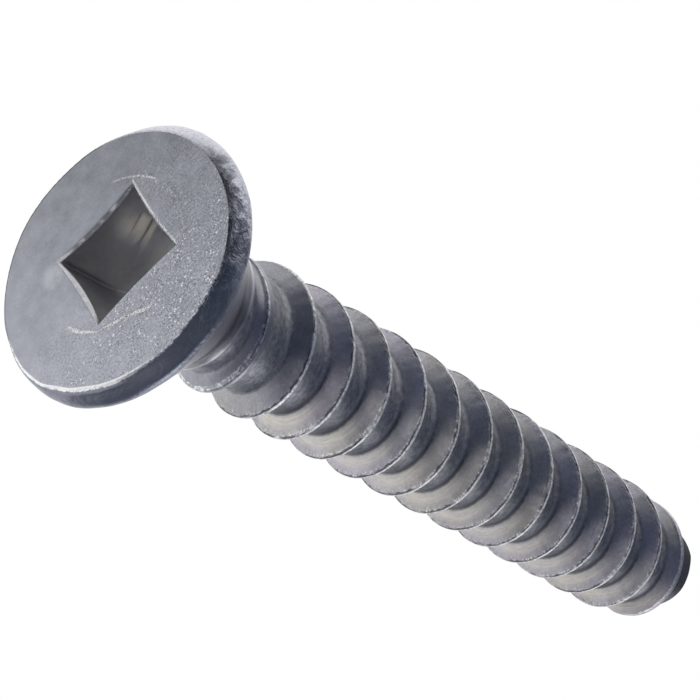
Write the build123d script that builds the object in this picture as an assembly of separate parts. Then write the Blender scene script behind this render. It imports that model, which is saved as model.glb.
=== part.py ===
from build123d import *

# Sheet metal screw: a flat countersunk head with a square drive recess, a coarse
# right-hand spaced thread and a blunt tip, rolled and headed from one piece of wire.
# It stands on its head. The origin is the centre of the head's flat face, +Z runs along
# the axis to the tip, and the sides of the recess lie along X and Y.

import os
from math import atan2, cos, degrees, radians, tan

# Head, in millimetres and degrees
RIM_DIAMETER = 7.5
EDGE_WIDTH = 0.29
EDGE_HEIGHT = 0.44
EDGE_ROUND = 0.08
RIM_LAND = 0.09
RIM_ROUND = 0.06
COUNTERSINK_ANGLE = 82.0
UNDERHEAD_ROUND = 0.7

# Square drive recess, with sides that bow inwards and a conical floor
RECESS_WIDTH = 2.74
RECESS_BOW = 0.1
RECESS_DEPTH = 2.25
RECESS_TAPER = 1.5
RECESS_FLOOR_ANGLE = 120.0
RECESS_OFF_CENTRE = 0.14

# Shank, from the head's face to the blunt tip
OVERALL_LENGTH = 27.25
ROOT_DIAMETER = 3.0
TIP_BREAK = 0.14

# Thread, 15 turns to the inch
MAJOR_DIAMETER = 4.22
PITCH = 25.4 / 15
CREST_WIDTH = 0.2
FLANK_ANGLE = 32.0
START_ANGLE = 173.0
RIDGE_FOOTING = 0.12

# Where the thread is not full: it grows out of the head and dies away at the tip
RUNOUT_LENGTH = 3.6
RUNOUT_DEPTH = 0.5
TAPER_LENGTH = 1.9
TAPER_DEPTH = 0.21
FADE_LENGTH = 0.85
FADE_STOP = 0.1

# Radii and heights that follow from the sizes above
rim_radius = RIM_DIAMETER / 2
root_radius = ROOT_DIAMETER / 2
crest_radius = MAJOR_DIAMETER / 2
cone_slope = tan(radians(COUNTERSINK_ANGLE / 2))
cone_top = EDGE_HEIGHT + RIM_LAND


def cone_height(radius):
    """Height at which the head's cone has come in to a radius."""
    return cone_top + (rim_radius - radius) / cone_slope


flank_slope = tan(radians(FLANK_ANGLE))
ridge_half_width = CREST_WIDTH / 2 + (crest_radius - root_radius) * flank_slope
thread_start = cone_height(crest_radius) - ridge_half_width
thread_end = OVERALL_LENGTH - FADE_STOP


def make_body():
    """Head, cone and plain shank, turned in one piece."""
    corners = [
        (0, 0),
        (rim_radius - EDGE_WIDTH, 0),
        (rim_radius, EDGE_HEIGHT),
        (rim_radius, cone_top),
        (root_radius, cone_height(root_radius)),
        (root_radius, OVERALL_LENGTH - TIP_BREAK),
        (root_radius - TIP_BREAK, OVERALL_LENGTH),
        (0, OVERALL_LENGTH),
    ]
    rounds = {1: EDGE_ROUND, 2: RIM_ROUND, 3: RIM_ROUND, 4: UNDERHEAD_ROUND}
    section = make_face(Polyline(*corners, close=True))
    for corner, radius in rounds.items():
        place = Vector(*corners[corner])
        vertex = section.vertices().sort_by(lambda v: (Vector(*v) - place).length)[0]
        section = fillet(vertex, radius)
    return revolve(Plane.XZ * section, Axis.Z)


def ridge_section(turn, radius):
    """Corners of the ridge's section after so many turns, cut off flat at a crest radius."""
    height = thread_start + turn * PITCH
    crest_half = CREST_WIDTH / 2 + (crest_radius - radius) * flank_slope
    foot_radius = root_radius - RIDGE_FOOTING
    foot_half = CREST_WIDTH / 2 + (crest_radius - foot_radius) * flank_slope
    return [
        (height - foot_half, foot_radius),
        (height - crest_half, radius),
        (height + crest_half, radius),
        (height + foot_half, foot_radius),
    ]


def ridge_edge(low, high, turn, turns):
    """One long edge of the ridge, a helix that may widen or narrow as it climbs."""
    rise = high[0] - low[0]
    lean = atan2(high[1] - low[1], rise)
    helix = Helix(rise / turns / cos(lean), rise, low[1], cone_angle=degrees(lean))
    return (Pos(0, 0, low[0]) * Rot(0, 0, START_ANGLE + 360 * turn) * helix).edge()


def make_ridge():
    """The thread's ridge, from inside the head to where it dies away at the tip."""
    full_turn = RUNOUT_LENGTH / PITCH
    last_turn = (thread_end - thread_start) / PITCH
    fade_turn = last_turn - FADE_LENGTH / PITCH
    taper_turn = fade_turn - TAPER_LENGTH / PITCH
    stations = [
        (0, crest_radius - RUNOUT_DEPTH),
        (full_turn, crest_radius),
        (taper_turn, crest_radius),
        (fade_turn, crest_radius - TAPER_DEPTH),
        (last_turn, root_radius - RIDGE_FOOTING / 2),
    ]
    faces = []
    for (turn, radius), (next_turn, next_radius) in zip(stations, stations[1:]):
        low = ridge_section(turn, radius)
        high = ridge_section(next_turn, next_radius)
        turns = next_turn - turn
        edges = [ridge_edge(a, b, turn, turns) for a, b in zip(low, high)]
        faces += [Face.make_surface_from_curves(edges[i - 1], edges[i]) for i in range(len(edges))]
        if turn == 0:
            faces.append(Face(Wire.make_polygon([edge @ 0 for edge in edges])))
        if next_turn == last_turn:
            faces.append(Face(Wire.make_polygon([edge @ 1 for edge in edges])))
    ridge = Solid(Shell(faces))
    return split(ridge, Plane.XY.offset(OVERALL_LENGTH - TIP_BREAK), keep=Keep.BOTTOM)


def recess_section(width, height):
    """A square with its four sides bowed inwards, at a height up the recess."""
    half = width / 2
    corners = [(half, -half), (half, half), (-half, half), (-half, -half)]
    middles = [(half - RECESS_BOW, 0), (0, half - RECESS_BOW), (RECESS_BOW - half, 0), (0, RECESS_BOW - half)]
    sides = [ThreePointArc(corners[i], middles[i], corners[(i + 1) % 4]) for i in range(4)]
    return Pos(0, 0, height) * make_face(sides)


def make_recess():
    """The punch that leaves the recess: a slightly tapered bowed square with a blunt point."""
    floor_width = RECESS_WIDTH - 2 * RECESS_DEPTH * tan(radians(RECESS_TAPER))
    shaft = loft([recess_section(RECESS_WIDTH, 0), recess_section(floor_width, RECESS_DEPTH)], ruled=True)
    point_radius = floor_width / 2 - RECESS_BOW
    point_height = point_radius / tan(radians(RECESS_FLOOR_ANGLE / 2))
    point = Pos(0, 0, RECESS_DEPTH) * Cone(
        point_radius, 0, point_height, align=(Align.CENTER, Align.CENTER, Align.MIN)
    )
    return Pos(0, RECESS_OFF_CENTRE, 0) * (shaft + point)


screw = make_body() + make_ridge() - make_recess()

os.makedirs("parts", exist_ok=True)
export_step(screw, "parts/screw.step")
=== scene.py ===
"""A steel sheet metal screw standing on its flat countersunk head, with a plain stage around it."""

import math
from bisect import bisect_right

import bmesh
import bpy
from bmesh.types import BMEdge, BMFace, BMVert
from mathutils import Euler, Matrix, Vector, noise


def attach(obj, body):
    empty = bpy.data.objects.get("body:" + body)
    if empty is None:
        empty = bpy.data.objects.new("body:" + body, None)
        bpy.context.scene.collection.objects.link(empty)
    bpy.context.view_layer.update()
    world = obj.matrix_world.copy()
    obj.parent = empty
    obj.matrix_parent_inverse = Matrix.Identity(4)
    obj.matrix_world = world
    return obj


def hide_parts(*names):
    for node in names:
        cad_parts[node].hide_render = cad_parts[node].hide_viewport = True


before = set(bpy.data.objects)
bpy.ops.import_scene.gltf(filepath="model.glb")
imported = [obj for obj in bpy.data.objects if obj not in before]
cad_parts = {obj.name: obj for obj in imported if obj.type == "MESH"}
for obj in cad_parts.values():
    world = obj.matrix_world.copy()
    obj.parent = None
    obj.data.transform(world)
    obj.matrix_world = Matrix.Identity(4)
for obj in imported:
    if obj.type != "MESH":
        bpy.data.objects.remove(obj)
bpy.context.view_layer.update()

bl_info = {
    "name": "Sheet metal screw",
    "version": (1, 0, 0),
    "blender": (4, 5, 0),
    "location": "View3D > Sidebar > Screw",
    "description": "Builds a rolled steel sheet metal screw and a plain stage for it",
    "category": "Add Mesh",
}

MM = 0.001
TURN = 2 * math.pi


# What a user may change

def length(name, description, default):
    """A property for a length, in metres."""
    return bpy.props.FloatProperty(
        name=name, description=description, default=default, subtype="DISTANCE", unit="LENGTH", precision=5)


def offset(name, description, default):
    """A property for a shift in two or three directions, in metres."""
    return bpy.props.FloatVectorProperty(
        name=name, description=description, default=default, size=len(default),
        subtype="TRANSLATION", unit="LENGTH", precision=6)


def angle(name, description, degrees):
    """A property for an angle."""
    return bpy.props.FloatProperty(
        name=name, description=description, default=math.radians(degrees), subtype="ANGLE", unit="ROTATION")


def colour(name, description, default):
    """A property for a surface colour."""
    return bpy.props.FloatVectorProperty(
        name=name, description=description, default=default, size=3, min=0, max=1, subtype="COLOR")


class ScrewSizes(bpy.types.PropertyGroup):
    """Sizes of the screw, from the head's flat face to the tip."""

    rim_radius: length("Rim radius", "Radius of the head's rim", 3.75 * MM)
    edge_width: length("Edge width", "How far the edge of the flat face is worn inwards", 0.25 * MM)
    edge_height: length("Edge height", "Height of the worn edge from the flat face", 0.44 * MM)
    head_shift: offset("Head shift", "How far the rim sits off the axis", (0.085 * MM, 0.023 * MM))
    bend: length("Bend", "How far the neck and the first turns stand off the axis", 0.045 * MM)
    rim_land: length("Rim land", "Height of the upright band of the rim", 0.1 * MM)
    neck_radius: length("Neck radius", "Radius of the plain neck before the thread", 1.745 * MM)
    neck_end: length("Neck end", "Height at which the neck ends and the first groove starts", 3.2 * MM)
    cone_angle: angle("Cone angle", "Whole angle of the countersunk cone", 82)
    recess_half: length("Recess half width", "Half the width of the square recess", 1.37 * MM)
    recess_bow: length("Recess bow", "How far the sides of the recess bow inwards", 0.1 * MM)
    recess_lip: length("Recess lip", "Depth of the sloped lip at the mouth", 0.1 * MM)
    recess_depth: length("Recess depth", "Depth of the recess at its walls", 2.25 * MM)
    recess_taper: angle("Recess taper", "How far the walls of the recess lean in", 1.5)
    recess_shift: length("Recess shift", "How far the recess sits off the head's centre", 0.14 * MM)
    root_radius: length("Root radius", "Radius at the bottom of the thread's groove", 1.47 * MM)
    major_radius: length("Major radius", "Radius at the thread's full crest", 2.11 * MM)
    pitch: length("Pitch", "Rise of the thread in one turn", 25.4 / 15 * MM)
    crest_start: length("Crest start", "Height of the crest, carried back to the X axis below the head", 1.09 * MM)
    crest_width: length("Crest width", "Width of the full crest", 0.1 * MM)
    head_flank: angle("Head side flank", "Angle of the flank that faces the head", 28)
    tip_flank: angle("Tip side flank", "Angle of the flank that faces the tip", 30)
    overall: length("Overall length", "Length from the flat face to the tip", 27.25 * MM)
    tip_radius: length("Tip radius", "Radius of the blunt tip", 1.46 * MM)
    tip_break: length("Tip break", "Height of the broken edge at the tip", 0.14 * MM)
    tip_shift: offset("Tip shift", "How far the tip stands off the axis", (-0.03 * MM, -0.075 * MM, 0))
    tip_squash: length("Tip squash", "How far the tip is pressed in on its low side", 0.13 * MM)
    tip_slant: length("Tip slant", "How far the cut end leans out of square", 0.06 * MM)


class SteelColours(bpy.types.PropertyGroup):
    """Colours of the steel's surfaces."""

    face: colour("Face", "Blasted flat face of the head", (0.41, 0.42, 0.465))
    smooth: colour("Rolled steel", "Smooth steel on the flanks and neck", (0.46, 0.455, 0.49))
    rough: colour("Groove steel", "Streaky steel in the bottom of the groove", (0.36, 0.37, 0.40))
    # Dark also paints shade: the rim's shadow, the recess's corner and lines, the neck's band and low side, the
    # groove's -X side and the flanks' crease
    dark: colour("Scale", "Dark steel in pits, seams and scuffs", (0.07, 0.075, 0.09))
    # Bright also paints highlights: on the crest's land and along the line at the neck's end
    bright: colour("Bright steel", "Rubbed edges and burrs", (0.75, 0.76, 0.79))
    beige: colour("Beige steel", "Warm tint in patches on the flanks", (0.50, 0.47, 0.42))
    mauve: colour("Mauve steel", "Cool tint in patches on the flanks", (0.48, 0.43, 0.51))


class StageSettings(bpy.types.PropertyGroup):
    """Floor, light and camera."""

    floor_colour: colour("Floor", "Plain pale floor", (0.8, 0.8, 0.8))
    world_level: bpy.props.FloatProperty(
        name="World level", description="Strength of the plain light from all round", default=0.6, min=0)
    lens: bpy.props.FloatProperty(
        name="Lens", description="Focal length in millimetres on a 36 mm sensor", default=115.95, min=1,
        unit="CAMERA")


# Numbers

def smoothstep(low, high, x):
    """0 below low, 1 above high, and a soft step between."""
    t = min(max((x - low) / (high - low), 0.0), 1.0)
    return t * t * (3 - 2 * t)


def table(stops, x):
    """Value at x on a soft line through the stops."""
    keys = [stop[0] for stop in stops]
    i = bisect_right(keys, x)
    if i == 0:
        return stops[0][1]
    if i == len(stops):
        return stops[-1][1]
    (x0, y0), (x1, y1) = stops[i - 1], stops[i]
    return y0 + (y1 - y0) * smoothstep(x0, x1, x)


def between(a, b, t):
    """The point a share t of the way from a to b."""
    return tuple(p + (q - p) * t for p, q in zip(a, b))


def waver(turn, seed, size, pace):
    """A slow waver along the thread, always the same for one seed."""
    return size * noise.noise(Vector((turn * pace, seed, 0.37)))


# Shader maths

class Value:
    """A socket whose sums and products add Math nodes."""

    def __init__(self, tree, socket):
        self.tree = tree
        self.socket = socket

    def math(self, operation, *values):
        return self.tree.add("ShaderNodeMath", {"operation": operation}, dict(enumerate(values)))

    def __add__(self, other):
        return self.math("ADD", self, other)

    def __radd__(self, other):
        return self.math("ADD", other, self)

    def __sub__(self, other):
        return self.math("SUBTRACT", self, other)

    def __rsub__(self, other):
        return self.math("SUBTRACT", other, self)

    def __mul__(self, other):
        return self.math("MULTIPLY", self, other)

    def __rmul__(self, other):
        return self.math("MULTIPLY", other, self)

    def __truediv__(self, other):
        return self.math("DIVIDE", self, other)

    def __pow__(self, other):
        return self.math("POWER", self, other)

    def most(self, other):
        return self.math("MAXIMUM", self, other)

    def size(self):
        return self.math("ABSOLUTE", self)

    def fraction(self):
        return self.math("FRACT", self)

    def clamp(self):
        return self.tree.add("ShaderNodeClamp", {}, {"Value": self})

    def above(self, low, high):
        """0 below low, 1 above high, soft between."""
        settings = {"interpolation_type": "SMOOTHSTEP"}
        return self.tree.add("ShaderNodeMapRange", settings, {"Value": self, "From Min": low, "From Max": high})

    def below(self, low, high):
        """1 below low, 0 above high, soft between."""
        return 1 - self.above(low, high)

    def near(self, middle, inner, outer):
        """1 less than inner away from the middle, 0 more than outer away, soft between."""
        return (self - middle).size().below(inner, outer)


class Tree:
    """Nodes of one material or world."""

    def __init__(self, owner):
        owner.use_nodes = True
        self.nodes = owner.node_tree.nodes
        self.links = owner.node_tree.links
        self.nodes.clear()

    def add(self, kind, settings, inputs, output=0):
        """Adds a node: its settings first, then its sockets, and gives one output."""
        node = self.nodes.new(kind)
        for key, value in settings.items():
            setattr(node, key, value)
        for key, value in inputs.items():
            socket = node.inputs[key]
            if isinstance(value, Value):
                self.links.new(value.socket, socket)
            else:
                socket.default_value = value
        return Value(self, node.outputs[output]) if len(node.outputs) else None

    def mix(self, factor, a, b):
        """Colour a where the factor is 0, b where it is 1."""
        a, b = [c if isinstance(c, Value) else (*c, 1) for c in (a, b)]
        return self.add("ShaderNodeMix", {"data_type": "RGBA"}, {0: factor, 6: a, 7: b}, output=2)

    def paint(self, base, *coats):
        """Lays coats of (mask, colour) over a base colour."""
        for mask, coat in coats:
            base = self.mix(mask, base, coat)
        return base

    def vector(self, operation, a, b, output=0):
        return self.add("ShaderNodeVectorMath", {"operation": operation}, {0: a, 1: b}, output=output)

    def stretch(self, vector, x, y, z):
        return self.vector("MULTIPLY", vector, (x, y, z))

    def coordinates(self, source="Object"):
        return self.add("ShaderNodeTexCoord", {}, {}, output=source)

    def parts(self, vector):
        """X, Y and Z of a vector."""
        node = self.nodes.new("ShaderNodeSeparateXYZ")
        self.links.new(vector.socket, node.inputs[0])
        return [Value(self, socket) for socket in node.outputs]

    def millimetres(self, vector):
        """X, Y and Z of a vector in metres, in millimetres."""
        return [part / MM for part in self.parts(vector)]

    def join(self, x, y, z):
        return self.add("ShaderNodeCombineXYZ", {}, {0: x, 1: y, 2: z})

    def grain(self, vector, scale, detail=2.0, roughness=0.5, distortion=0.0):
        """Noise from 0 to 1."""
        inputs = {"Vector": vector, "Scale": scale, "Detail": detail, "Roughness": roughness, "Distortion": distortion}
        return self.add("ShaderNodeTexNoise", {}, inputs)

    def cells(self, vector, scale):
        """Distance from the middle of the nearest of many scattered cells."""
        return self.add("ShaderNodeTexVoronoi", {}, {"Vector": vector, "Scale": scale})

    def finish_metal(self, base, roughness, height, strength, depth, metallic=1.0):
        """A metal shader whose bumps have a height, a strength and a depth in millimetres."""
        bump = self.add("ShaderNodeBump", {}, {"Strength": strength, "Distance": depth * MM, "Height": height})
        inputs = {"Base Color": base, "Roughness": roughness, "Normal": bump, "Metallic": metallic}
        shader = self.add("ShaderNodeBsdfPrincipled", {}, inputs)
        self.add("ShaderNodeOutputMaterial", {}, {"Surface": shader})


def new_material(name):
    material = bpy.data.materials.new(name)
    return material, Tree(material)


def shade(tone, factor):
    """A colour made darker or lighter."""
    return tuple(min(c * factor, 1) for c in tone)


# Materials. Their coordinates are millimetres from the centre of the head's face.

# Colours that a single finish has: almost white for painted glints on burrs, bevel and punch ring, the rolled rim with
# its painted top highlight, the recess with its painted warm light, and the flanks' painted warm highlight and the
# first turns' painted shade
SPARKLE = (0.95, 0.95, 0.97)
BURR_GLINT = (0.95, 0.95, 0.96)
BEVEL_HIGHLIGHT = (0.97, 0.97, 0.98)
WHITE = (1.0, 1.0, 1.0)
RIM_DARK, RIM_FLAKE, RIM_TOP_HIGHLIGHT = (0.28, 0.295, 0.35), (0.68, 0.69, 0.76), (0.80, 0.79, 0.86)
RECESS_DARK, RECESS_PALE, RECESS_WARM_LIGHT = (0.58, 0.575, 0.585), (0.80, 0.79, 0.79), (1.0, 0.94, 0.80)
FIRST_TURN_SHADE, FLANK_WARM_HIGHLIGHT = (0.2, 0.22, 0.28), (0.86, 0.82, 0.73)

RIM_RADIUS = 3.75
# Marks on the face, from the recess's centre: where the punch ring fades in, the short arc of painted highlight and
# the light smear
RING_INSIDE = (1.7, 1.85)
ARC_RADIUS = 2.09
SMEAR_PLACE = (1.72, 1.12)
# The recess's -X side, painted bright as a highlight: its X, its bow, and half its length
LIP_SIDE, LIP_BOW, LIP_HALF = -1.385, 0.06, 1.31


def face_steel(colours, sizes):
    """Blasted grey face: painted shade darkening it towards its -X, +Y side, sparkling grain with painted glints on
    its low side, a worn punch ring painted with glints, and a few small marks.
    """
    material, t = new_material("blasted_face")
    place = t.coordinates()
    x, y, z = t.millimetres(place)
    fine = t.grain(place, 25000, 1)
    grain = t.grain(place, 12000, 3, 0.65)
    coarse = t.grain(place, 2600, 3, 0.6)
    cloud = t.grain(place, 800, 3, 0.6)
    worn = t.grain(place, 1100, 3, 0.65)

    low_side = ((t.grain(place, 300) - 0.5) * 1.3 - y * 0.267 - x * 0.06).above(-0.4, 0.9)
    cluster = t.grain(place, 2000, 3, 0.65).above(0.4, 0.62)
    amount = 0.14 + low_side * (0.45 + 0.75 * cluster)
    # Painted shade: the face is made darker towards its -X, +Y side and lighter towards +X, -Y
    slope = (y * 0.610 - x * 0.711) / RIM_RADIUS
    blasted = (fine * 0.55 + grain * 0.45 - 0.5) * 5.2 * amount
    lightness = 0.51 - slope * 0.38 + (cloud - 0.5) * 0.65 + (coarse - 0.5) * 0.5 + blasted
    # Painted glints: dots painted almost white, only on the face's low side
    dots = t.cells(place, 8500).below(0.12, 0.30)
    sparkle = dots * (grain + cluster * 0.14).above(0.5, 0.62) * low_side.above(0.35, 0.8)

    # The punch ring, the recess's bright side, the short arc and the smear go by Y from the recess's centre. The ring
    # is painted white as glints, strongest on its +X side, and the bright side and the arc are painted highlights
    yr = y - sizes.recess_shift / MM
    radius = (x * x + yr * yr) ** 0.5
    # The punch ring's painted glints are much stronger on its +X side
    strong = x.above(-0.6, 0.4)
    ring = z.size().above(0.0006, 0.0022) * radius.above(*RING_INSIDE)
    ring = ring * (fine * 0.3 + worn * 0.7 + strong * 0.1).above(0.43, 0.55)
    ring = ring * (0.12 + 0.88 * strong) * (0.3 + 0.7 * (grain * 0.6 + fine * 0.4).above(0.44, 0.52))
    across = yr / LIP_HALF
    lip = (x + across * across * LIP_BOW).near(LIP_SIDE, 0.012, 0.045)
    lip = lip * across.size().below(1.0, 1.08) * (fine * 0.5 + worn * 0.5).above(0.42, 0.52)
    arc = radius.near(ARC_RADIUS, 0.006, 0.04) * (yr * 0.64 - x * 0.77).above(1.9, 2.05) * worn.above(0.36, 0.5)
    lip = lip.most(arc * (0.15 + 0.85 * grain.above(0.44, 0.56)))
    aside, upward = x - SMEAR_PLACE[0], yr - SMEAR_PLACE[1]
    smear = (aside * aside + upward * upward).below(0.0, 0.22) * worn.above(0.35, 0.6)
    nick = t.grain(place, 1500, 2, 0.5, 1.5).near(0.5, 0.004, 0.016)
    nick = nick * radius.near(2.0, 0.1, 0.35) * (y * 0.25 - x * 0.8).above(1.1, 1.7)
    chips = t.grain(place, 9000, 3, 0.65).above(0.58, 0.63)
    chips = chips * radius.near(2.1, 0.12, 0.4) * (y * 0.1 - x * 0.8).above(1.2, 1.7)

    base = t.mix(lightness.clamp(), shade(colours.face, 0.58), shade(colours.face, 1.42))
    base = t.paint(
        base,
        (sparkle, SPARKLE),
        # Painted glints on the punch ring, and painted highlights along the recess's -X side and the short arc
        ((ring * 1.3).clamp(), WHITE),
        (lip * 0.85, SPARKLE),
        (smear * 0.45, colours.bright),
        (nick * 0.35, colours.dark),
        (chips * 0.6, colours.bright),
    )
    roughness = 0.47 - sparkle * 0.12 - ring * 0.1
    height = (grain * 0.7 + fine * 0.3) * (amount + ring * 5.0)
    height = height + coarse * (0.4 + 0.8 * low_side) + chips * 0.6 - nick * 0.6
    t.finish_metal(base, roughness, height, 0.7, 0.012, 1 - ring.most(lip) * 0.4)
    return material


def rim_steel(colours):
    """Rim and edge: dark rolled band with light flakes and painted shadow on its torn side, a painted highlight on its
    top side, and a bevel on its cut side and burrs at the face's edge painted almost white as highlights.
    """
    material, t = new_material("worn_rim")
    place = t.coordinates()
    x, y, up = t.millimetres(place)
    flakes = t.grain(place, 1300, 4, 0.62, 0.9)
    drag = t.grain(t.stretch(place, 1.0, 1.0, 1.6), 2600, 3, 0.6, 1.2)
    fine = t.grain(place, 14000, 2, 0.7)
    broken = fine * 0.6 + drag * 0.4

    low = x * 0.82 - y * 0.57
    cut_side = low / RIM_RADIUS
    torn = cut_side.below(-0.6, 0.55)
    # Painted highlight: the rim's top side is painted lighter
    top_side = (0 - low).above(2.6, 3.7)
    left_side = (x * 0.57 + y * 0.82).above(1.2, 2.6)
    patch = (flakes * 0.6 + drag * 0.4 + up.above(0.15, 0.45) * 0.1 + top_side * 0.2).above(0.5, 0.6) * torn
    shadow = (up + (flakes - 0.5) * 0.5).below(0.08, 0.30) * torn * (1 - top_side * 0.8)
    # Painted highlight: the cut bevel is painted almost white, broken in places
    bevel = (up + (broken - 0.5) * 0.05).below(0.036, 0.048) * cut_side.above(0.62, 0.74)
    bevel = bevel * (1 - 0.65 * broken.above(0.5, 0.58))
    # Burrs at the face's edge, painted almost white as glints, not on the left side
    burr_glint = up.below(0.018, 0.03) * cut_side.above(-0.2, 0.2) * broken.above(0.46, 0.54) * (1 - left_side)
    crack = (up + (drag - 0.5) * 0.14).size().below(0.03, 0.06) * torn
    crack = crack * y.below(-0.8, -0.2) * t.grain(place, 500).above(0.36, 0.46)

    base = t.paint(
        t.mix(patch, RIM_DARK, RIM_FLAKE),
        (shadow * 0.8, colours.dark),
        (top_side * 0.9, RIM_TOP_HIGHLIGHT),
        (fine.above(0.5, 0.66) * (0.16 + 0.14 * torn), colours.dark),
        (bevel.most(burr_glint), BEVEL_HIGHLIGHT),
        (crack * 0.85, shade(colours.dark, 0.5)),
    )
    roughness = 0.30 + patch * 0.1 + fine * 0.1
    relief = (0.14 + 0.86 * torn) * (1 - top_side * 0.85)
    height = (flakes + drag * 0.7) * relief + fine * 0.03 - crack * 0.25
    t.finish_metal(base, roughness, height, 1.0, 0.15)
    return material


def recess_steel(colours):
    """Walls of the recess: punched steel with painted warm light in bands across one wall, painted shade in lines and
    in one corner, and a rubbed lip with painted glints.
    """
    material, t = new_material("punched_recess")
    place = t.coordinates()
    x, y, down = t.millimetres(place)
    streaks = t.grain(t.stretch(place, 0.12, 1.0, 1.0), 5200, 3, 0.6)
    fine = t.grain(place, 6000, 3, 0.6)
    cloud = t.grain(place, 900)

    # Painted warm light leans across the +Y wall: two bands, the glow beside them and a faint one below, with lines of
    # painted shade between them
    wall = y.above(0.8, 1.1)
    level = down - 0.27 * (x + 0.5) + (streaks - 0.5) * 0.08
    reach = x.above(-1.0, -0.82) * (x + (streaks - 0.5) * 0.9).below(-0.6, 0.1)
    bands = level.near(1.13, 0.08, 0.24).most(level.near(1.47, 0.04, 0.14))
    glow = level.near(0.8, 0.0, 0.55) * x.near(-0.45, 0.0, 0.6) * 0.65
    faint = level.near(2.2, 0.0, 0.6) * x.near(-0.05, 0.0, 0.8) * 0.3
    painted_warm_light = bands * reach * (0.8 + 0.2 * streaks.above(0.34, 0.56))
    painted_warm_light = painted_warm_light.most(glow * (0.4 + 0.6 * streaks.above(0.36, 0.6))).most(faint) * wall
    # Painted shade: dark lines between the bands of painted light
    shade_lines = level.near(1.335, 0.005, 0.04).most(level.near(0.92, 0.0, 0.03)) * reach * wall
    # Painted shade: the +X, +Y corner of the walls is painted darker
    corner = x.above(1.16, 1.28) * y.above(1.28, 1.42) * down.above(0.1, 0.35)
    lip = (down + (fine - 0.5) * 0.04).below(0.06, 0.09)
    # Burrs on the lip, painted almost white as glints, strongest at the +X, +Y corner
    burr_glint = lip * (x.above(0.7, 1.1) * wall).most(t.grain(place, 2600, 3, 0.6).above(0.5, 0.62) * 0.7)

    base = t.mix((0.5 + (cloud - 0.5) * 1.6 + (fine - 0.5) * 0.8).clamp(), RECESS_DARK, RECESS_PALE)
    base = t.paint(
        base,
        (painted_warm_light, RECESS_WARM_LIGHT),
        (shade_lines * 0.6, colours.dark),
        (corner * 0.4, colours.dark),
        (lip * 0.35, colours.smooth),
        (burr_glint, BURR_GLINT),
    )
    roughness = 0.38 + (fine - 0.5) * 0.2 + burr_glint * 0.1
    t.finish_metal(base, roughness, streaks * 0.5 + fine * 0.5, 0.4, 0.01, 1 - painted_warm_light.most(burr_glint * 0.8))
    return material


def neck_steel(colours):
    """Smooth upset cone and neck: faint rings, a satin grain, painted shade round the corner under the cone and on the
    -Y side, and a painted highlight line before the first groove.
    """
    material, t = new_material("satin_neck")
    place = t.coordinates()
    y, up = t.millimetres(place)[1:]
    rings = t.grain(t.stretch(place, 0.15, 0.15, 1.0), 3000, 3, 0.6)
    cloud = t.grain(place, 500, 3, 0.6)
    streaks = t.grain(t.stretch(place, 0.35, 0.35, 1.0), 5200, 4, 0.65)
    fine = t.grain(place, 11000, 3, 0.65)

    lightness = 0.5 + (cloud - 0.5) * 1.6 + (streaks - 0.5) * 1.4
    # Painted shade: a darker band round the corner where the cone meets the neck
    band = (up + (streaks - 0.5) * 0.3).above(2.4, 2.75) * up.below(3.0, 3.1)
    # Painted highlight: a bright line painted round the neck just before the first groove
    line = (up + (cloud - 0.5) * 0.06).near(3.13, 0.015, 0.05)
    # Painted shade: the neck's -Y side under the cone is painted darker
    low_side = y.below(-1.7, -1.3) * up.above(2.3, 2.8)
    base = t.paint(
        t.mix(lightness.clamp(), shade(colours.smooth, 0.72), shade(colours.smooth, 1.3)),
        (rings.above(0.6, 0.72) * 0.15 + fine.below(0.3, 0.45) * 0.25, colours.dark),
        (band * 0.3, colours.dark),
        (line * 0.75, colours.bright),
        (low_side * (0.35 + 0.35 * streaks.above(0.4, 0.6)), colours.dark),
    )
    roughness = 0.40 + (cloud - 0.5) * 0.16
    t.finish_metal(base, roughness, rings * 0.6 + streaks * 0.5 + fine * 0.25, 0.5, 0.014)
    return material


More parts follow.
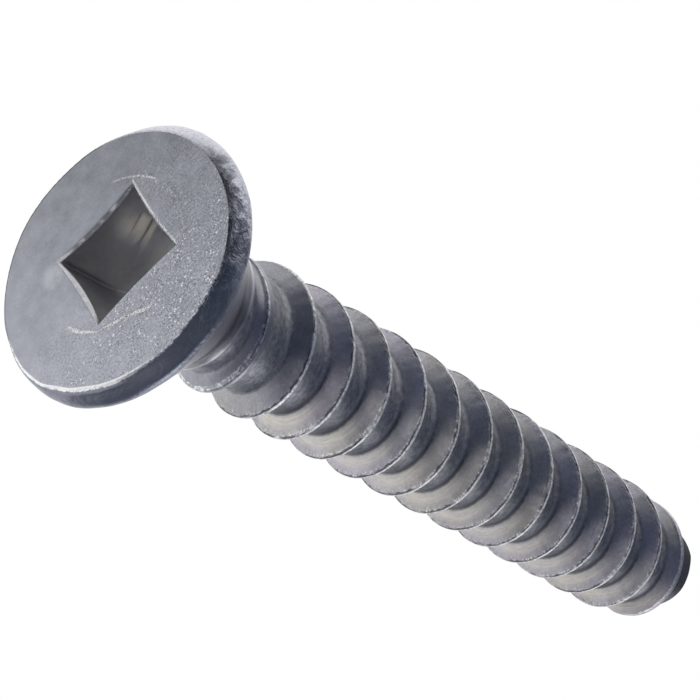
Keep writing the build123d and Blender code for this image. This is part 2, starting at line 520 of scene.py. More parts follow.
def thread_steel(colours, sizes):
    """Rolled thread: satin flanks tinted beige and mauve, a streaky groove, a crest painted bright as a highlight with
    its dark seam, painted shade on the first turns, the groove's -X side and a crease, and painted glints and a
    painted warm highlight by side.
    """
    material, t = new_material("rolled_thread")
    place = t.coordinates()
    # The strip's UV map: turns along the thread, and the share of a pitch up from one crest to the next
    along, across = t.parts(t.coordinates("UV"))[:2]
    x, y = t.millimetres(place)[:2]
    pitch = sizes.pitch / MM
    radius = (x * x + y * y) ** 0.5
    wound = t.join(along * TURN * 1.8, across * pitch, 0.0)
    crest = ((across + 0.5).fraction() - 0.5) * pitch
    streaks = t.grain(t.stretch(wound, 0.5, 8.0, 1.0), 2.0, 3, 0.55)
    pits = t.grain(t.stretch(wound, 1.7, 3.4, 1.0), 2.6, 4, 0.65, 0.4)
    brushed = t.grain(t.join(along * TURN * 1.6, radius * 11, 0.0), 1.6, 4, 0.65)
    fine = t.grain(place, 9000, 3, 0.65)
    speck = t.grain(place, 17000, 2, 0.6)
    cloud = t.grain(place, 900, 4, 0.62)
    tint = t.grain(place, 380)

    # Parts of the thread
    root = radius.below(1.52, 1.64)
    flank = 1 - root
    edge = radius.above(1.86, 2.04)
    # Painted highlight: the crest's land is painted bright in patches
    land = radius.above(1.66, 1.74) * crest.size().below(0.045, 0.065)
    seam = radius.above(1.93, 2.02) * (crest + (pits - 0.5) * 0.09).near(-0.045, 0.006, 0.03)
    seam = seam * t.grain(t.stretch(wound, 1.0, 0.2, 1.0), 1.3, 3).above(0.36, 0.5)
    started = along.above(2.0, 2.9)
    stub = along.above(14.3, 14.42) * across.above(0.15, 0.22)

    # By side: the low side's burrs painted as glints, the lit side made less metallic, and at the foot of the lower
    # flanks a crease of painted shade and a gleam of painted warm highlight
    low_side = y.below(-1.7, -0.8)
    # Burrs on the crest, painted almost white as glints on the low side only
    burr_glint = radius.above(2.0, 2.05) * low_side * (fine * 0.5 + speck * 0.5).above(0.47, 0.56) * (0.35 + 0.65 * started)
    right_side = (x - y) * 0.71
    lit = 0.25 + 0.75 * along.above(3, 8) + along.above(13.1, 13.7)
    lit = right_side.above(0.6, 1.9) * lit * (1 - stub) * 0.32
    front = across.above(0.5, 0.55) * (1 - stub)
    # Painted shade in the crease at the foot of the lower flanks
    crease = (radius + (pits - 0.5) * 0.06).near(1.55, 0.015, 0.06)
    crease = front * (x * 0.5 - y * 0.87).above(0.4, 1.3) * crease
    # Painted highlight: a warm gleam on the lower flanks
    gleam = front * right_side.above(0.9, 1.6) * radius.near(1.72, 0.03, 0.24)
    gleam = gleam * (0.4 + 0.6 * brushed.above(0.4, 0.6)) * started

    lightness = 0.5 + (cloud * 0.6 + fine * 0.4 - 0.5) * 4.6
    mottled = t.mix(pits.above(0.36, 0.64), shade(colours.rough, 0.85), shade(colours.rough, 1.5))
    base = t.paint(
        t.mix(lightness.clamp(), shade(colours.smooth, 0.80), shade(colours.smooth, 1.2)),
        (tint.above(0.42, 0.66) * 0.55, colours.beige),
        (tint.below(0.36, 0.56) * 0.4, colours.mauve),
        (root * 0.8, mottled),
        (root * streaks.above(0.56, 0.70) * 0.4, colours.dark),
        # Painted shade in the groove on its -X side, stronger further along
        (root * x.below(-1.4, -0.7) * (0.2 + 0.5 * along.above(4, 9)), colours.dark),
        (flank * brushed.above(0.54, 0.72) * 0.16, shade(colours.smooth, 0.45)),
        (flank * brushed.below(0.30, 0.44) * 0.12, colours.bright),
        # Painted shade on the flanks of the first turns, under the head
        (flank * along.below(1.8, 2.4) * 0.4, FIRST_TURN_SHADE),
        (speck.above(0.55, 0.68) * fine.above(0.45, 0.6) * (0.25 + 0.5 * edge), colours.bright),
        (speck.below(0.32, 0.45) * (0.15 + 0.45 * edge * (1 - low_side)), colours.dark),
        (burr_glint, BURR_GLINT),
        (land * (0.12 + 0.8 * (fine * 0.5 + pits * 0.5).above(0.46, 0.54)), shade(colours.bright, 1.2)),
        (crease * (0.35 + 0.4 * started), colours.dark),
        (gleam * 0.6, FLANK_WARM_HIGHLIGHT),
        (stub * 0.72, colours.dark),
        (seam * 0.9, colours.dark),
    )
    roughness = 0.36 + root * 0.14 + (brushed - 0.5) * 0.12 + (cloud - 0.5) * 0.14
    height = flank * brushed * 0.3 - root * (streaks * 1.2 + pits * 1.1)
    height = height + fine * (0.5 + edge) + speck * 0.35 + cloud * 1.2 - seam * 1.2
    metallic = 1 - lit - gleam * 0.2 - radius.above(2.0, 2.06) * low_side * 0.4
    t.finish_metal(base, roughness, height, 0.5, 0.014, metallic)
    return material


def tip_steel(colours):
    """Cut end of the wire: dark, with fine scratches."""
    material, t = new_material("cut_tip")
    fine = t.grain(t.stretch(t.coordinates(), 1.0, 6.0, 1.0), 1500, 4, 0.6)
    base = t.mix(fine.above(0.35, 0.65), shade(colours.smooth, 0.7), colours.smooth)
    t.finish_metal(base, 0.36 + (fine - 0.5) * 0.2, fine, 0.3, 0.01)
    return material


# The screw's mesh

FACE, RIM, RECESS, NECK, THREAD, TIP = range(6)
MERGE = 0.0005 * MM


def only(kind, items):
    """The items of one kind."""
    return [item for item in items if isinstance(item, kind)]


def whole(verts):
    """Vertices with their edges and faces."""
    edges = dict.fromkeys(edge for vert in verts for edge in vert.link_edges)
    faces = dict.fromkeys(face for vert in verts for face in vert.link_faces)
    return [*verts, *edges, *faces]


def finish_faces(faces, material):
    """Gives faces a material and smooth shading."""
    for face in faces:
        face.material_index = material
        face.smooth = True


def chain(bm, points):
    """A line of edges through points, with each vertex tagged with its place in the line."""
    station = bm.verts.layers.int["station"]
    verts = [bm.verts.new(point) for point in points]
    for i, vert in enumerate(verts):
        vert[station] = i
    return verts + [bm.edges.new(pair) for pair in zip(verts, verts[1:])]


def lathe(bm, points, steps):
    """Turns a line of points about Z: a quarter turn, copied to make the other three."""
    old = set(bm.verts)
    bmesh.ops.spin(bm, geom=chain(bm, points), cent=(0, 0, 0), axis=(0, 0, 1), angle=TURN / 4, steps=steps // 4,
                   use_merge=False)
    quarter = whole([vert for vert in bm.verts if vert not in old])
    for side in (1, 2, 3):
        copy = bmesh.ops.duplicate(bm, geom=quarter)["geom"]
        turned = Matrix.Rotation(side * TURN / 4, 3, "Z")
        bmesh.ops.rotate(bm, verts=only(BMVert, copy), cent=(0, 0, 0), matrix=turned)
    bmesh.ops.remove_doubles(bm, verts=[vert for vert in bm.verts if vert not in old], dist=0.0001 * MM)
    return [vert for vert in bm.verts if vert not in old]


def square_point(turn_angle, half, bows):
    """Point in a direction on a square whose +X, +Y, -X and -Y sides bow inwards."""
    c, s = math.cos(turn_angle), math.sin(turn_angle)
    if abs(c) >= abs(s):
        slope = s / abs(c)
        normal = half - bows[0 if c > 0 else 2] * (1 - slope * slope)
        return math.copysign(normal, c), slope * half
    slope = c / abs(s)
    normal = half - bows[1 if s > 0 else 3] * (1 - slope * slope)
    return slope * half, math.copysign(normal, s)


class Head:
    """The head from the recess floor out over the face and rim to the end of the neck."""

    STEPS = 256
    KINDS = {"recess": RECESS, "lip": RECESS, "mouth": FACE, "inner": FACE, "ring": FACE, "outer": FACE,
             "edge": RIM, "neck": NECK}

    # The recess's floor: share of its half width, and millimetres below its depth
    FLOOR_WIDTH = 0.96
    FLOOR = ((0, 0.62), (0.2, 0.58), (0.4, 0.47), (0.6, 0.31), (0.76, 0.14), (0.88, -0.04), (0.955, -0.22),
             (0.99, -0.42))
    # Depths of the rings on its walls, in millimetres
    WALL = (1.6, 1.35, 1.15, 0.95, 0.72, 0.5, 0.34, 0.24, 0.19)
    # The sloped lip: share of its depth, and how far each ring has the bow of the walls below
    LIP = ((1.08, 1.0), (1.0, 0.98), (0.9, 0.92), (0.7, 0.75), (0.45, 0.5), (0.25, 0.28), (0.1, 0.1))
    LIP_SPREAD = 0.04 * MM
    # The mouth's two rings: out from the recess's half width, and up
    MOUTH = ((0.045 * MM, 0.003 * MM), (0.06 * MM, 0.0))
    # Bow of the recess's +X, +Y, -X and -Y sides at the mouth and below its lip, in recess bows
    MOUTH_BOWS = (0.3, 1.0, 0.6, 0.6)
    DEEP_BOWS = (1.15, 1.3, 0.9, 1.0)
    # How the punch went in: its Y pressed short, skewed by its X, and set off the centre
    PUNCH_PRESS, PUNCH_SKEW, PUNCH_OFF = 0.945, 0.04, 0.015 * MM

    # Rings of the flat face, as shares of the way out to the punch ring and from it to the edge
    INNER = (0.15, 0.4, 0.7, 0.9)
    OUTER = (0.12, 0.3, 0.5, 0.7, 0.85, 0.93, 0.97)
    # Section of the punch ring (out, height), and its radius and its strength by degrees round the head
    RING_HALF = 0.03
    RING_SECTION = ((-RING_HALF, 0.012), (-0.012, 0.005), (0.0, -0.006), (0.012, -0.003), (RING_HALF, 0.0))
    RING_RADIUS = ((0, 2.2), (90, 2.15), (180, 2.12), (207, 2.14), (216, 2.21), (232, 2.11), (260, 2.13), (271, 2.17),
                   (284, 1.99), (295, 1.9), (306, 1.95), (323, 2.09), (334, 2.15), (343, 2.18), (360, 2.2))
    RING_STRENGTH = ((0, 0.02), (160, 0.02), (178, 0.35), (236, 0.35), (246, 0.04), (262, 0.1), (276, 0.7), (288, 1.0),
                     (339, 1.0), (349, 0.02))

    # Two sections of the rim, out in edge widths and up in edge heights: rounded over, and cut by a small bevel
    ROUND_EDGE = ((-1, 0), (-0.975, 0.035), (-0.90, 0.10), (-0.78, 0.19), (-0.62, 0.30), (-0.46, 0.41), (-0.33, 0.52),
                  (-0.20, 0.63), (-0.10, 0.75), (-0.03, 0.84), (0, 0.95), (0, 1.07), (-0.03, 1.2), (-0.1, 1.33),
                  (-0.22, 1.455), (-0.38, 1.57))
    CUT_EDGE = ((-1, 0), (-0.985, 0.008), (-0.95, 0.03), (-0.86, 0.08), (-0.74, 0.125), (-0.64, 0.16), (-0.57, 0.205),
                (-0.48, 0.29), (-0.37, 0.41), (-0.25, 0.54), (-0.13, 0.69), (-0.04, 0.87), (0, 1.03), (-0.06, 1.28),
                (-0.2, 1.44), (-0.36, 1.57))
    # Degrees between which the edge turns from cut to rounded over, and back
    CUT_ENDS, CUT_STARTS = (60, 110), (280, 300)
    # How many edge widths the worn edge takes, by degrees, for the points before the first low one
    SPREAD = ((0, 0.52), (25, 0.32), (60, 0.32), (100, 0.88), (140, 1.16), (177, 1.16), (190, 1.0), (210, 0.84),
              (235, 0.8), (246, 1.1), (259, 1.3), (271, 1.25), (290, 1.5), (315, 1.44), (330, 1.2), (345, 0.68),
              (360, 0.52))
    FIRST_LOW_POINT = 12
    # How far the rim is out of round, in millimetres by degrees
    OUT_OF_ROUND = ((0, 0.045), (20, 0.025), (45, -0.01), (90, -0.02), (115, -0.005), (135, 0.02), (160, 0.02),
                    (189, 0.02), (205, 0.055), (225, 0.065), (245, 0.02), (270, -0.06), (290, -0.09), (310, -0.07),
                    (335, 0.0), (350, 0.035), (360, 0.045))
    ROUGHNESS, EDGE_ROUGHNESS, RING_ROUGHNESS = 0.012 * MM, 0.01 * MM, 0.003 * MM
    RING_WANDER = 0.02 * MM

    # The cone and neck: first ring above the rim, step, gap before the end, and softness of the corner
    NECK_FIRST, NECK_STEP, NECK_GAP = 0.09 * MM, 0.115 * MM, 0.16 * MM
    NECK_SOFT, NECK_DROP = 0.24 * MM, 0.02 * MM
    FLARE, FLARE_START = 0.035 * MM, 2.85 * MM
    # The neck's end: in and up, in millimetres
    NECK_END = ((0.0, -0.1), (0.0, -0.05), (0.0, -0.02), (0.006, 0.0), (0.02, 0.016), (0.06, 0.05), (0.11, 0.08))
    # Heights at which the cone is round and centred again
    ROUND_AGAIN, CENTRED_AGAIN = 1.6 * MM, 2.4 * MM

    def __init__(self, sizes):
        self.s = sizes
        self.rings = []
        self.fill()

    def neck(self, height):
        """Radius of the cone and neck at a height."""
        s = self.s
        cone = s.rim_radius - (height - s.edge_height - s.rim_land) * math.tan(s.cone_angle / 2)
        plain = s.neck_radius + self.FLARE * smoothstep(self.FLARE_START, s.neck_end, height)
        return (cone + plain + math.hypot(cone - plain, self.NECK_SOFT)) / 2 - self.NECK_DROP

    def fill(self):
        """Lists the rings: kind, size across, height, and how square each is."""
        s = self.s
        rings = self.rings
        for share, drop in self.FLOOR:
            rings.append(("recess", s.recess_half * self.FLOOR_WIDTH * share, s.recess_depth + drop * MM, share))
        for depth in self.WALL:
            half = s.recess_half - (depth * MM - s.recess_lip) * math.tan(s.recess_taper)
            rings.append(("recess", half, depth * MM, 1.0))
        for share, bow in self.LIP:
            rings.append(("lip", s.recess_half + self.LIP_SPREAD * (1 - bow), s.recess_lip * share, bow))
        rings += [("mouth", s.recess_half + out, height, 0.0) for out, height in self.MOUTH]
        rings += [("inner", share, 0.0, 0.0) for share in self.INNER]
        rings += [("ring", out * MM, height * MM, 0.0) for out, height in self.RING_SECTION]
        rings += [("outer", share, 0.0, 0.0) for share in self.OUTER]
        rings += [("edge", i, 0.0, 0.0) for i in range(len(self.ROUND_EDGE))]
        height = s.edge_height * self.ROUND_EDGE[-1][1] + self.NECK_FIRST
        while height < s.neck_end - self.NECK_GAP:
            rings.append(("neck", self.neck(height), height, 0.0))
            height += self.NECK_STEP
        end = self.neck(s.neck_end)
        rings += [("neck", end - inwards * MM, s.neck_end + up * MM, 0.0) for inwards, up in self.NECK_END]

    def edge(self, index, degrees):
        """How far out and up a point of the rim's section is, by degrees round the head."""
        cut = smoothstep(*self.CUT_STARTS, degrees) + 1 - smoothstep(*self.CUT_ENDS, degrees)
        out, up = between(self.ROUND_EDGE[index], self.CUT_EDGE[index], min(cut, 1.0))
        if index < self.FIRST_LOW_POINT:
            out *= table(self.SPREAD, degrees)
        return out * self.s.edge_width, up * self.s.edge_height

    def punched(self, turn_angle, half, bows, height):
        """A point of the recess, where the punch went in: a little low and askew."""
        x, y = square_point(turn_angle, half, [self.s.recess_bow * bow for bow in bows])
        return x, y * self.PUNCH_PRESS + self.PUNCH_SKEW * x + self.s.recess_shift + self.PUNCH_OFF, height

    def place(self, index, turn_angle):
        """Where a vertex of a ring goes."""
        s = self.s
        kind, size, height, square = self.rings[index]
        c, sn = math.cos(turn_angle), math.sin(turn_angle)
        degrees = math.degrees(turn_angle) % 360
        if kind == "recess":
            return self.punched(turn_angle, size, [bow * square for bow in self.DEEP_BOWS], height)
        if kind in ("lip", "mouth"):
            return self.punched(turn_angle, size, between(self.MOUTH_BOWS, self.DEEP_BOWS, square), height)

        rough = noise.noise(Vector((c * 7, sn * 7, height * 4000)))
        ring_radius = table(self.RING_RADIUS, degrees) * MM
        if kind == "ring":
            radius = ring_radius + size + self.RING_WANDER * noise.noise(Vector((c * 9, sn * 9, 0.9)))
            up = (height + self.RING_ROUGHNESS * rough) * table(self.RING_STRENGTH, degrees)
            return radius * c, radius * sn + s.recess_shift, up
        if kind == "inner":
            x, y, flat = self.punched(turn_angle, s.recess_half + self.MOUTH[-1][0], self.MOUTH_BOWS, 0.0)
            radius = ring_radius - self.RING_HALF * MM
            return (*between((x, y), (radius * c, radius * sn + s.recess_shift), size), flat)

        out_of_round = table(self.OUT_OF_ROUND, degrees) * MM
        shift_x, shift_y = s.head_shift
        if kind == "outer":
            radius = ring_radius + self.RING_HALF * MM
            outside = s.rim_radius + self.edge(0, degrees)[0] + out_of_round * 0.5
            start = (radius * c, radius * sn + s.recess_shift, 0.0)
            return between(start, (outside * c + shift_x, outside * sn + shift_y, 0.0), size)
        if kind == "edge":
            out, up = self.edge(size, degrees)
            high = smoothstep(0.0, 0.3, up / s.edge_height)
            fine = noise.noise(Vector((c * 60, sn * 60, 0.3))) * (1 - high)
            radius = s.rim_radius + out + out_of_round * (0.5 + 0.5 * high)
            radius += self.ROUGHNESS * rough * high + self.EDGE_ROUGHNESS * fine
            return radius * c + shift_x, radius * sn + shift_y, up
        off_centre = 1 - smoothstep(s.edge_height + s.rim_land, self.CENTRED_AGAIN, height)
        size += out_of_round * (1 - smoothstep(s.edge_height, self.ROUND_AGAIN, height))
        return size * c + shift_x * off_centre, size * sn + shift_y * off_centre, height

    def build(self, bm):
        """Spins the rings, places them and marks their materials. Gives the neck's open edges."""
        station = bm.verts.layers.int["station"]
        # The line turned first is only a flat row of points, one for each ring
        turned = lathe(bm, [((i * 0.01 + 0.001) * MM, 0, 0) for i in range(len(self.rings))], self.STEPS)
        for vert in turned:
            vert.co = self.place(vert[station], math.atan2(vert.co.y, vert.co.x))
        for face in only(BMFace, whole(turned)):
            last = max(vert[station] for vert in face.verts)
            finish_faces([face], self.KINDS[self.rings[last][0]])
        end = len(self.rings) - 1
        return [edge for edge in only(BMEdge, whole(turned)) if all(vert[station] == end for vert in edge.verts)]


class Thread:
    """The rolled thread and its groove, wound as one long strip from the neck to the tip."""

    STEPS = 140
    FIRST_TURN = 0.25
    # Radius of the crest by height, in millimetres: low at both ends of the thread
    CREST_RADIUS = ((2.6, 1.47), (3.2, 1.6), (3.65, 1.72), (4.0, 1.81), (4.38, 1.97), (5.2, 2.04), (6.4, 2.08),
                    (9.0, 2.09), (24.9, 2.08), (25.4, 2.0), (25.6, 1.94), (26.3, 1.91), (26.85, 1.53), (27.1, 1.5))
    # Wavers: seed, size and pace along a turn
    CREST_WAVER = (1.3, 0.014 * MM, 5)
    EDGE_NICKS = ((5.5, 0.014 * MM, 55), (7.5, 0.01 * MM, 140))
    BACK_NICKS = (9.5, 0.012 * MM, 50)
    ROOT_SEED, ROOT_WAVER, ROOT_PACE = 11, 0.012 * MM, 9
    # The notched seam along the crest: its depth, how much that varies, and how fast
    SEAM, SEAM_VARIES, SEAM_PACE = 0.022 * MM, 0.02 * MM, 60
    # While the thread is growing, its crest leans to the tip and its lower flank stands in
    LEAN, UNDERCUT, FOOT_SHIFT = 0.05 * MM, 0.038 * MM, 0.1 * MM
    SHARES = (0, 0.2, 0.4, 0.6, 0.8, 1)

    def __init__(self, sizes):
        self.s = sizes
        rise = sizes.overall + 0.4 * MM - sizes.crest_start
        self.turns = math.ceil(rise / sizes.pitch - self.FIRST_TURN) + 1
        self.count = len(self.section(self.FIRST_TURN))

    def crest(self, turn):
        """Radius of the crest after so many turns."""
        height = self.s.crest_start + self.s.pitch * turn
        return table(self.CREST_RADIUS, height / MM) * MM + waver(turn, *self.CREST_WAVER)

    def section(self, turn):
        """The strip's points (up from this crest, radius) from one crest to the next."""
        s = self.s
        pitch, root = s.pitch, s.root_radius
        half = s.crest_width / 2
        depth = s.major_radius - root
        back_run, front_run = depth * math.tan(s.tip_flank), depth * math.tan(s.head_flank)
        here, there = self.crest(turn), self.crest(turn + 1)
        next_height = s.crest_start + pitch * (turn + 1)
        missing = min(max(s.major_radius - here, 0), depth - 0.1 * MM)
        back = half + missing * math.tan(s.tip_flank)
        under = smoothstep(0.02 * MM, 0.3 * MM, s.major_radius - there)
        under *= 1 - smoothstep(8 * MM, 10 * MM, next_height)
        front = half - self.UNDERCUT * under
        lean = self.LEAN * (1 - smoothstep(4.2 * MM, 6.0 * MM, next_height))
        seam = self.SEAM + self.SEAM_VARIES * noise.noise(Vector((turn * self.SEAM_PACE, 3.1, 0)))
        seam *= smoothstep(1.9 * MM, 2.04 * MM, there)
        nicks = sum(waver(turn + 1, *nick) for nick in self.EDGE_NICKS)
        back_nicks = waver(turn, *self.BACK_NICKS)

        # From this crest down its tip side
        points = [
            (0.0, here),
            (back * 0.5, here),
            (back - 0.016 * MM + back_nicks, here),
            (back + back_nicks, here - 0.008 * MM),
            (back + 0.014 * MM + back_nicks, here - 0.032 * MM),
        ]
        low = (half + back_run, root + 0.035 * MM)
        points += [between(points[-1], low, t) for t in (0.4, 0.8)]
        # Across the groove
        foot = pitch - half - front_run + self.FOOT_SHIFT * under
        first, last = low[0] + 0.2 * MM, foot - 0.2 * MM
        points += [low, (low[0] + 0.09 * MM, root + 0.006 * MM)]
        for t in self.SHARES:
            wavering = waver(turn, self.ROOT_SEED + t, self.ROOT_WAVER, self.ROOT_PACE)
            points.append((first + (last - first) * t, root + wavering))
        points += [
            (foot - 0.12 * MM, root + 0.006 * MM),
            (foot - 0.05 * MM, root + 0.022 * MM),
            (foot + 0.015 * MM, root + 0.06 * MM),
        ]
        # Up the head side of the next crest
        start = (foot + 0.05 * MM, min(root + 0.1 * MM, there - 0.04 * MM))
        edge = (pitch - front - 0.014 * MM + nicks, there - lean - 0.034 * MM)
        points += [between(start, edge, t) for t in self.SHARES]
        points += [
            (pitch - front + nicks, there - lean - 0.01 * MM),
            (pitch - front + 0.014 * MM + nicks, there - lean),
            (pitch - front * 0.52 + nicks, there - lean * 0.6 - seam),
            (pitch - front * 0.22, there - lean * 0.3),
            (pitch, there),
        ]
        return points

    def build(self, bm):
        """Winds the strip, places it, marks its places on the UV map and closes it on itself."""
        s = self.s
        station = bm.verts.layers.int["station"]
        uv = bm.loops.layers.uv["strip"]
        old = set(bm.verts)
        spread = s.pitch / (self.count - 1)
        rise = s.pitch / self.STEPS
        line = chain(bm, [(s.root_radius, 0, i * spread) for i in range(self.count)])
        bmesh.ops.spin(bm, geom=line, cent=(0, 0, 0), axis=(0, 0, 1), dvec=(0, 0, rise), angle=TURN, steps=self.STEPS,
                       use_merge=False)
        one_turn = whole([vert for vert in bm.verts if vert not in old])
        for turn in range(1, self.turns):
            copy = bmesh.ops.duplicate(bm, geom=one_turn)["geom"]
            bmesh.ops.translate(bm, verts=only(BMVert, copy), vec=(0, 0, turn * s.pitch))
        new = [vert for vert in bm.verts if vert not in old]
        sections = [self.section(self.FIRST_TURN + row / self.STEPS) for row in range(self.STEPS * self.turns + 1)]
        where = {}
        for vert in new:
            row = round((vert.co.z - vert[station] * spread) / rise)
            turn = self.FIRST_TURN + row / self.STEPS
            up, radius = sections[row][vert[station]]
            where[vert] = (turn, up / s.pitch)
            height = s.crest_start + s.pitch * turn + up
            vert.co = (radius * math.cos(TURN * turn), radius * math.sin(TURN * turn), height)
        faces = only(BMFace, whole(new))
        finish_faces(faces, THREAD)
        for loop in (loop for face in faces for loop in face.loops):
            loop[uv].uv = where[loop.vert]
        bmesh.ops.remove_doubles(bm, verts=new, dist=MERGE)
        return [vert for vert in new if vert.is_valid]


def cut_level(bm, verts, height, below):
    """Cuts a mesh level at a height, takes off what is below or above, and gives the edges of the cut."""
    cut = bmesh.ops.bisect_plane(bm, geom=whole(verts), plane_co=(0, 0, height), plane_no=(0, 0, 1), dist=1e-8,
                                 clear_inner=below, clear_outer=not below)
    return only(BMEdge, cut["geom_cut"])


# Rings that close the tip: inwards from its radius and up from its broken edge, in millimetres
TIP_RINGS = ((0.05, 0.06), (0.15, 0.14), (0.3, 0.14), (0.8, 0.14), (1.25, 0.14), (1.44, 0.14))


def close_tip(bm, edges, sizes):
    """Breaks the tip's edge, and closes its flat end with rings drawn in to the centre."""
    for inwards, up in TIP_RINGS:
        made = bmesh.ops.extrude_edge_only(bm, edges=edges)["geom"]
        edges = only(BMEdge, made)
        verts = only(BMVert, made)
        for vert in verts:
            flat = Vector((vert.co.x, vert.co.y, 0))
            vert.co = flat.normalized() * (sizes.tip_radius - inwards * MM)
            vert.co.z = sizes.overall - sizes.tip_break + up * MM
        finish_faces(only(BMFace, made), TIP)
    bmesh.ops.pointmerge(bm, verts=verts, merge_co=Vector((0, 0, sizes.overall)))


# Heights in millimetres between which the first turns stand off the axis and come back, and the tip is pressed
BEND_STARTS, BEND_ENDS, TIP_STARTS = (3.6, 6), (7, 14), (26.3, 26.95)
# Directions in which the tip is pressed in and its end leans, and the share of its radius that the press leaves
PRESSED, LEANING, UNPRESSED = (0.76, -0.65), (0.5, -0.87), 0.45


def bend(vert, sizes):
    """Moves a vertex with the slight bend under the head and the pressed, slanted tip."""
    height = vert.co.z / MM
    vert.co.x += sizes.bend * smoothstep(*BEND_STARTS, height) * (1 - smoothstep(*BEND_ENDS, height))
    end = smoothstep(*TIP_STARTS, height)
    vert.co += Vector(sizes.tip_shift) * end
    reach = (vert.co.x * PRESSED[0] + vert.co.y * PRESSED[1]) / sizes.tip_radius
    press = max(reach - UNPRESSED, 0) / (1 - UNPRESSED)
    vert.co -= Vector((*PRESSED, 0)) * press * sizes.tip_squash * end
    lean = (vert.co.x * LEANING[0] + vert.co.y * LEANING[1]) / sizes.tip_radius
    vert.co.z += sizes.tip_slant * end * lean


def new_object(name, bm, materials):
    """Turns a finished bmesh into an object in the scene."""
    mesh = bpy.data.meshes.new(name)
    bm.to_mesh(mesh)
    bm.free()
    for material in materials:
        mesh.materials.append(material)
    item = bpy.data.objects.new(name, mesh)
    bpy.context.scene.collection.objects.link(item)
    return item


class SCREW_OT_screw(bpy.types.Operator):
    """Build the screw with its recess, rim, neck and rolled thread"""

    bl_idname = "screw.build_screw"
    bl_label = "Screw"

    def execute(self, context):
        sizes = context.scene.screw_sizes
        colours = context.scene.screw_colours
        bm = bmesh.new()
        bm.verts.layers.int.new("station")
        bm.loops.layers.uv.new("strip")
        strip = Thread(sizes).build(bm)
        low_edges = cut_level(bm, strip, sizes.neck_end + 0.14 * MM, True)
        strip = [vert for vert in strip if vert.is_valid]
        high_edges = cut_level(bm, strip, sizes.overall - sizes.tip_break, False)
        close_tip(bm, high_edges, sizes)
        neck_edges = Head(sizes).build(bm)
        bridge = bmesh.ops.bridge_loops(bm, edges=neck_edges + low_edges)
        finish_faces(bridge["faces"], NECK)
        bmesh.ops.remove_doubles(bm, verts=bm.verts, dist=MERGE)
        for vert in bm.verts:
            bend(vert, sizes)
        bmesh.ops.recalc_face_normals(bm, faces=bm.faces)
        steels = (face_steel(colours, sizes), rim_steel(colours), recess_steel(colours), neck_steel(colours),
                  thread_steel(colours, sizes), tip_steel(colours))
        screw = new_object("steel_screw", bm, steels)
        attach(screw, "root")
        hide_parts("screw")
        return {"FINISHED"}


# The stage

STAGE_MIDDLE = Vector((0, 0, 12 * MM))
FLOOR_RADIUS, FLOOR_GAP = 1.2, 0.02 * MM
TENT_RADIUS = 0.25
# Dark sides of the light tent: direction, colour, and degrees at which each starts and has faded out
TENT_SHADES = (
    ((0.76, -0.58, 0.17), (0.19, 0.20, 0.25), 32, 58),
    ((-0.37, -0.48, 0.80), (0.17, 0.18, 0.22), 20, 62),
    ((-0.27, -0.95, -0.11), (0.10, 0.12, 0.17), 35, 55),
    ((0.34, -0.55, 0.76), (0.20, 0.21, 0.25), 12, 36),
    ((0.02, -0.54, -0.84), (0.27, 0.27, 0.29), 20, 62),
    ((-0.37, -0.26, -0.90), (0.06, 0.08, 0.13), 18, 72),
)
# Lamps: place, width, power and tint
LAMPS = {
    "key_lamp": ((0.10, -0.10, 0.16), 0.12, 0.06, (1, 1, 1)),
    "low_lamp": ((0.0186, -0.040, -0.131), 0.045, 0.009, (1.0, 0.96, 0.92)),
}
CAMERA_PLACE = (-12.8526 * MM, -39.7828 * MM, -36.6868 * MM)
CAMERA_DEGREES = (-154.59406, -35.25973, -145.96984)
SENSOR_WIDTH = 36


def lamp(name, place, size, power, tint):
    """A soft round lamp that looks at the middle of the screw."""
    data = bpy.data.lights.new(name, "AREA")
    data.shape = "DISK"
    data.size = size
    data.energy = power
    data.color = tint
    item = bpy.data.objects.new(name, data)
    item.location = place
    item.rotation_euler = (STAGE_MIDDLE - Vector(place)).to_track_quat("-Z", "Y").to_euler()
    bpy.context.scene.collection.objects.link(item)


def hide_from(item, *rays):
    """Hides an object from some kinds of light ray."""
    for ray in rays:
        setattr(item, "visible_" + ray, False)


def one_sided_floor(settings):
    """A pale floor that is seen only from above."""
    material, t = new_material("pale_floor")
    hidden = t.add("ShaderNodeNewGeometry", {}, {}, output="Backfacing")
    pale = t.add("ShaderNodeBsdfDiffuse", {}, {"Color": (*settings.floor_colour, 1)})
    clear = t.add("ShaderNodeBsdfTransparent", {}, {})
    mixed = t.add("ShaderNodeMixShader", {}, {0: hidden, 1: pale, 2: clear})
    t.add("ShaderNodeOutputMaterial", {}, {"Surface": mixed})
    return material


def light_tent():
    """A dome that only reflections show: open to the white world, with soft dark sides."""
    material, t = new_material("light_tent")
    place = t.vector("SUBTRACT", t.coordinates(), tuple(STAGE_MIDDLE))
    toward = t.vector("NORMALIZE", place, (0, 0, 0))
    shader = t.add("ShaderNodeBsdfTransparent", {}, {})
    for direction, level, inner, outer in TENT_SHADES:
        dot = t.vector("DOT_PRODUCT", toward, tuple(Vector(direction).normalized()), output=1)
        cover = dot.above(math.cos(math.radians(outer)), math.cos(math.radians(inner)))
        side = t.add("ShaderNodeEmission", {}, {"Color": (*level, 1), "Strength": 1.0})
        shader = t.add("ShaderNodeMixShader", {}, {0: cover, 1: shader, 2: side})
    t.add("ShaderNodeOutputMaterial", {}, {"Surface": shader})
    bm = bmesh.new()
    bmesh.ops.create_icosphere(bm, subdivisions=4, radius=TENT_RADIUS)
    bmesh.ops.translate(bm, verts=bm.verts, vec=STAGE_MIDDLE)
    tent = new_object("light_tent", bm, [material])
    hide_from(tent, "camera", "diffuse", "transmission", "shadow")


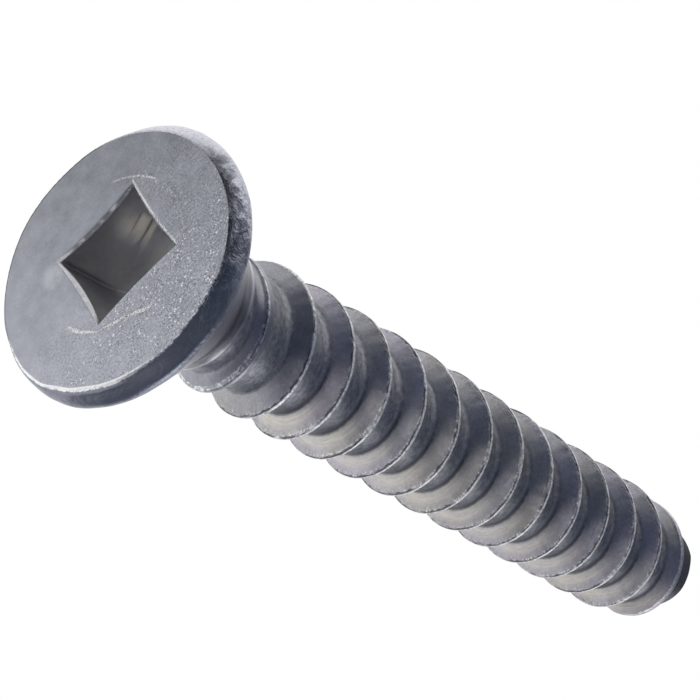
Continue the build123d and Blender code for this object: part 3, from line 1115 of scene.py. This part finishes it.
def white_world(level):
    """Plain light from all round that looks white to the camera and in reflections."""
    world = bpy.data.worlds.new("studio")
    bpy.context.scene.world = world
    t = Tree(world)
    paths = t.nodes.new("ShaderNodeLightPath")
    camera, glossy, clear = (Value(t, paths.outputs[f"Is {ray} Ray"]) for ray in ("Camera", "Glossy", "Transmission"))
    strength = level + camera.most(glossy).most(clear) * (1 - level)
    back = t.add("ShaderNodeBackground", {}, {"Color": (1, 1, 1, 1), "Strength": strength})
    t.add("ShaderNodeOutputWorld", {}, {"Surface": back})


class SCREW_OT_stage(bpy.types.Operator):
    """Set the floor, the light and the camera around the screw"""

    bl_idname = "screw.build_stage"
    bl_label = "Stage"

    def execute(self, context):
        settings = context.scene.screw_stage
        scene = context.scene
        bm = bmesh.new()
        bmesh.ops.create_circle(bm, cap_ends=True, segments=96, radius=FLOOR_RADIUS)
        bmesh.ops.translate(bm, verts=bm.verts, vec=(0, 0, -FLOOR_GAP))
        floor = new_object("floor", bm, [one_sided_floor(settings)])
        hide_from(floor, "diffuse", "glossy", "transmission", "shadow")
        light_tent()
        white_world(settings.world_level)
        for name, values in LAMPS.items():
            lamp(name, *values)

        data = bpy.data.cameras.new("camera")
        data.lens = settings.lens
        data.sensor_width = SENSOR_WIDTH
        data.clip_start = MM
        camera = bpy.data.objects.new("camera", data)
        camera.location = CAMERA_PLACE
        camera.rotation_euler = Euler([math.radians(degrees) for degrees in CAMERA_DEGREES])
        scene.collection.objects.link(camera)
        scene.camera = camera
        scene.view_settings.view_transform = "Standard"
        return {"FINISHED"}


# The add-on

class SCREW_PT_panel(bpy.types.Panel):
    """Lists what can be built"""

    bl_idname = "SCREW_PT_panel"
    bl_label = "Screw"
    bl_space_type = "VIEW_3D"
    bl_region_type = "UI"
    bl_category = "Screw"

    def draw(self, context):
        for group in GROUPS:
            settings = getattr(context.scene, group)
            for name in settings.__annotations__:
                self.layout.prop(settings, name)
        for operator in OPERATORS:
            self.layout.operator(operator.bl_idname)


OPERATORS = (SCREW_OT_stage, SCREW_OT_screw)
GROUPS = {"screw_sizes": ScrewSizes, "screw_colours": SteelColours, "screw_stage": StageSettings}
CLASSES = (*GROUPS.values(), *OPERATORS, SCREW_PT_panel)


def register():
    for cls in CLASSES:
        bpy.utils.register_class(cls)
    for name, group in GROUPS.items():
        setattr(bpy.types.Scene, name, bpy.props.PointerProperty(type=group))


def unregister():
    for name in GROUPS:
        delattr(bpy.types.Scene, name)
    for cls in reversed(CLASSES):
        bpy.utils.unregister_class(cls)


def main():
    """Registers the add-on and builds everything."""
    register()
    bpy.ops.screw.build_stage()
    bpy.ops.screw.build_screw()


if __name__ == "__main__":
    main()
